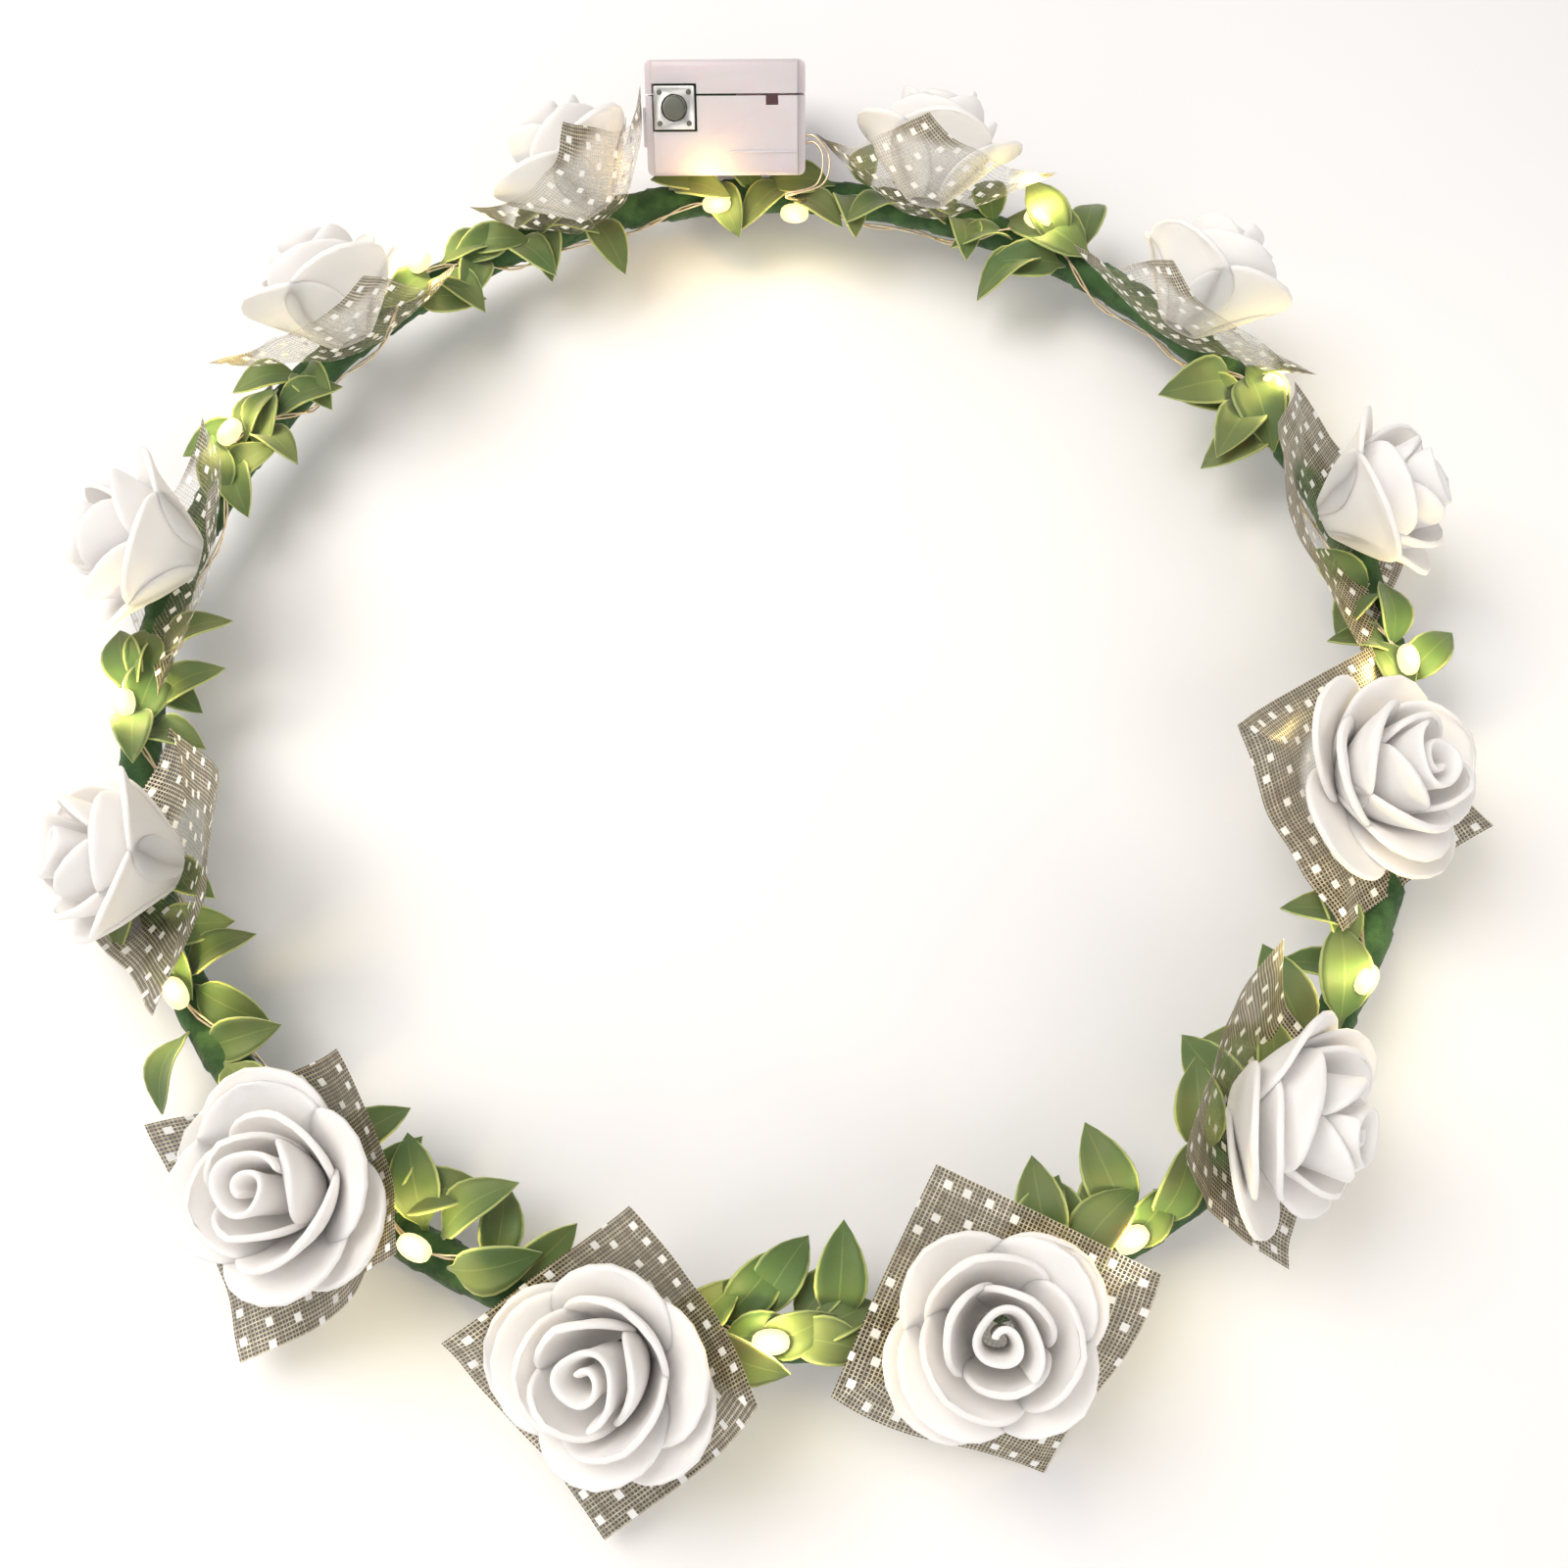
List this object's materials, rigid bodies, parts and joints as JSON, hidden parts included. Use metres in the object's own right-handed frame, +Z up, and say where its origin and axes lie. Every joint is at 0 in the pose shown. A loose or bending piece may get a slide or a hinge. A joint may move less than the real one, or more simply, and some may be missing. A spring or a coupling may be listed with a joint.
{
  "type": "flower crown",
  "caption": "Light-up flower crown: taped wire hoop with foam roses, tulle squares, leaf sprigs, a lamp string and a coin-cell battery box.",
  "frame": {"origin": "centre of the hoop, on the table that the crown lies on", "axes": "+Z up from the table along the hoop's axis, +Y towards the battery box, +X to the right seen from the front"},
  "size_m": [0.1903, 0.2165, 0.0373],
  "materials": {
    "hoop_steel": "drawn steel wire",
    "floral_tape": "dark green crepe paper tape, matte",
    "lamp_wire": "enamelled copper, thin and bright",
    "lamp_resin": "clear resin drop, glossy",
    "rose_foam": "soft closed-cell foam, matte white",
    "tulle_mesh": "see-through metallic net with glitter dots",
    "leaf_green": "stiffened satin, olive green with paler rims",
    "frosted_plastic": "translucent frosted plastic",
    "switch_metal": "pressed steel lid",
    "switch_button": "dark matte plastic",
    "circuit_board": "green solder mask",
    "cell_steel": "polished nickel-plated steel"
  },
  "bodies": {
    "crown": {"box_base": "frosted_plastic", "circuit_board": "circuit_board", "coin_cell_lower": "cell_steel", "coin_cell_upper": "cell_steel", "contact_strip": "cell_steel", "hoop_wire": "hoop_steel", "light_01": "lamp_resin", "light_02": "lamp_resin", "light_03": "lamp_resin", "light_04": "lamp_resin", "light_05": "lamp_resin", "light_06": "lamp_resin", "light_07": "lamp_resin", "light_08": "lamp_resin", "light_09": "lamp_resin", "light_10": "lamp_resin", "light_11": "lamp_resin", "light_12": "lamp_resin", "light_13": "lamp_resin", "light_wire": "lamp_wire", "rose_01": "rose_foam", "rose_02": "rose_foam", "rose_03": "rose_foam", "rose_04": "rose_foam", "rose_05": "rose_foam", "rose_06": "rose_foam", "rose_07": "rose_foam", "rose_08": "rose_foam", "rose_09": "rose_foam", "rose_10": "rose_foam", "rose_11": "rose_foam", "rose_12": "rose_foam", "sprig_01": "leaf_green", "sprig_02": "leaf_green", "sprig_03": "leaf_green", "sprig_04": "leaf_green", "sprig_05": "leaf_green", "sprig_06": "leaf_green", "sprig_07": "leaf_green", "sprig_08": "leaf_green", "sprig_09": "leaf_green", "sprig_10": "leaf_green", "sprig_11": "leaf_green", "sprig_12": "leaf_green", "stem_wrap": "floral_tape", "switch_body": "switch_metal", "tulle_01": "tulle_mesh", "tulle_02": "tulle_mesh", "tulle_03": "tulle_mesh", "tulle_04": "tulle_mesh", "tulle_05": "tulle_mesh", "tulle_06": "tulle_mesh", "tulle_07": "tulle_mesh", "tulle_08": "tulle_mesh", "tulle_09": "tulle_mesh", "tulle_10": "tulle_mesh", "tulle_11": "tulle_mesh", "tulle_12": "tulle_mesh"},
    "cover": {"box_cover": "frosted_plastic"},
    "button": {"switch_button": "switch_button"}
  },
  "joints": [
    {"name": "cover_lift", "type": "slide", "parent": "crown", "child": "cover", "axis": [0, 0.6947, 0.7193], "range_m": [0, 0.012]},
    {"name": "switch_press", "type": "slide", "parent": "crown", "child": "button", "axis": [0, 0.7193, -0.6947], "range_m": [0, 0.00025], "stiffness_N_per_m": 6400}
  ]
}
